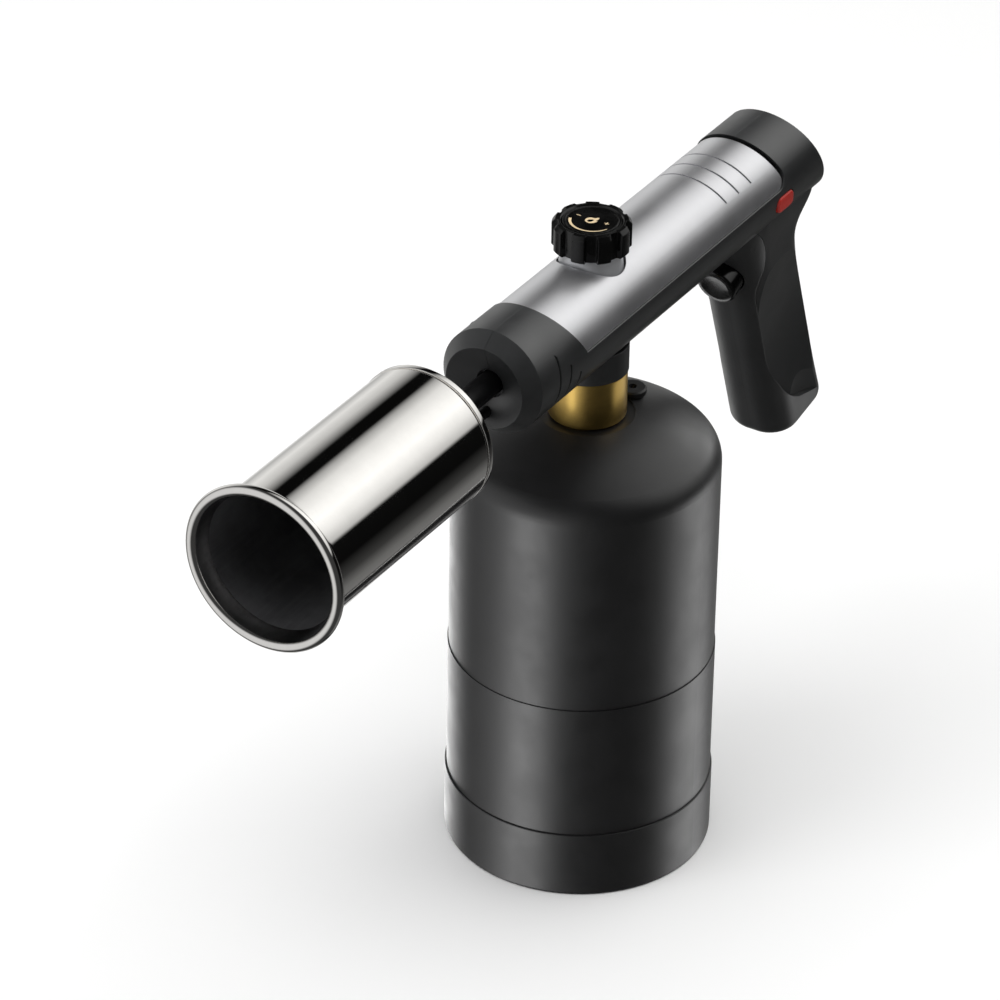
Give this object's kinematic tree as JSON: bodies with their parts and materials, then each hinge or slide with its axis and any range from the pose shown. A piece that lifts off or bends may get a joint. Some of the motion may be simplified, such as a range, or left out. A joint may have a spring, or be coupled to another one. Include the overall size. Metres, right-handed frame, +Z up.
{
  "type": "propane torch",
  "caption": "Pistol-grip gas torch with a wide flared burner tube, screwed onto an upright cylinder, with a flow knob, igniter trigger and push button.",
  "frame": {"origin": "centre of the flat underside of the cylinder's foot", "axes": "+Z up along the cylinder's axis, -Y the way the burner points, +X the side with the push button"},
  "size_m": [0.0999, 0.3689, 0.257],
  "materials": {
    "black_coated_steel": "matt black powder coat",
    "black_sleeve": "matt black shrink sleeve",
    "black_foot_plastic": "matt black moulded plastic",
    "brass": "satin turned brass",
    "steel": "zinc plated steel",
    "black_rubber": "black nitrile and silicone rubber",
    "chrome": "mirror polished",
    "black_steel": "black stove enamel",
    "dark_grey_plastic": "satin dark grey moulded plastic",
    "grey_boss": "satin mid grey moulded plastic",
    "satin_silver": "satin silver",
    "gloss_black_plastic": "gloss black moulded plastic",
    "dial_print": "gloss black plate with a pale printed arc",
    "red_plastic": "red moulded plastic",
    "copper_tube": "drawn copper",
    "ceramic": "unglazed alumina",
    "igniter_body": "black moulded plastic"
  },
  "bodies": {
    "cylinder": {"cylinder_shell": "black_coated_steel", "shrink_sleeve": "black_sleeve", "foot_cup": "black_foot_plastic", "valve_boss": "brass", "spring_plug": "brass", "check_valve_spring": "steel", "relief_valve_body": "brass", "relief_valve_spring": "steel", "relief_spring_cap": "steel"},
    "check_pin": {"check_valve_pin": "steel"},
    "relief_poppet": {"relief_valve_poppet": "steel"},
    "seal_ring": {"coupling_seal": "black_rubber"},
    "torch": {"brass_coupling": "brass", "neck_collar": "dark_grey_plastic", "depressor_pin": "brass", "valve_body": "brass", "stem_seal": "black_rubber", "bonnet_nut": "brass", "knob_boss": "grey_boss", "gas_tube": "copper_tube", "jet_holder": "brass", "gas_jet": "brass", "burner_stem": "black_steel", "stem_lock_nut": "steel", "burner_head": "steel", "burner_rear_plate": "steel", "burner_end_ring": "chrome", "burner_tube": "chrome", "igniter_lead": "black_rubber", "electrode_insulator": "ceramic", "electrode": "steel", "piezo_igniter": "igniter_body", "trigger_spring": "steel", "lock_spring": "steel", "top_shell": "satin_silver", "shell_gasket": "black_rubber", "grip_front_cover": "dark_grey_plastic", "housing_left": "dark_grey_plastic", "housing_right": "dark_grey_plastic", "housing_screws": "steel"},
    "knob": {"knob": "gloss_black_plastic", "dial_plate": "dial_print", "knob_screw": "steel", "valve_stem": "steel"},
    "needle_plug": {"needle": "brass"},
    "trigger": {"trigger_button": "gloss_black_plastic"},
    "lock": {"lock_button": "red_plastic"}
  },
  "joints": [
    {"name": "coupling_lift", "type": "slide", "parent": "cylinder", "child": "seal_ring", "axis": [0, 0, 1], "range_m": [0, 0.0127]},
    {"name": "torch_unscrew", "type": "hinge", "parent": "seal_ring", "child": "torch", "pos_m": [0, 0, 0.1935], "axis": [0, 0, 1], "range_deg": [0, 3600]},
    {"name": "check_pin_rise", "type": "slide", "parent": "cylinder", "child": "check_pin", "axis": [0, 0, 1], "range_m": [0, 0.0015], "deforming": ["check_valve_spring"]},
    {"name": "relief_lift", "type": "slide", "parent": "cylinder", "child": "relief_poppet", "axis": [0, 0, 1], "range_m": [0, 0.001], "stiffness_N_per_m": 800, "springref_m": -0.001, "deforming": ["relief_valve_spring"]},
    {"name": "knob_turn", "type": "hinge", "parent": "torch", "child": "knob", "pos_m": [0, 0, 0.2463], "axis": [0, 0, 1], "range_deg": [0, 270]},
    {"name": "needle_lift", "type": "slide", "parent": "torch", "child": "needle_plug", "axis": [0, 0, 1], "range_m": [0, 0.001]},
    {"name": "trigger_press", "type": "slide", "parent": "torch", "child": "trigger", "axis": [0, 0.9433, 0.332], "range_m": [0, 0.005], "stiffness_N_per_m": 600, "springref_m": -0.003, "deforming": ["trigger_spring"]},
    {"name": "lock_press", "type": "slide", "parent": "torch", "child": "lock", "axis": [-1, 0, 0], "range_m": [0, 0.002], "stiffness_N_per_m": 500, "springref_m": -0.002, "deforming": ["lock_spring"]}
  ],
  "couplings": [
    {"joint": "coupling_lift", "follows": "torch_unscrew", "m_per_rad": 0.00020213},
    {"joint": "check_pin_rise", "follows": "torch_unscrew", "m_per_rad": 0.00002387},
    {"joint": "needle_lift", "follows": "knob_turn", "m_per_rad": 0.00021}
  ]
}
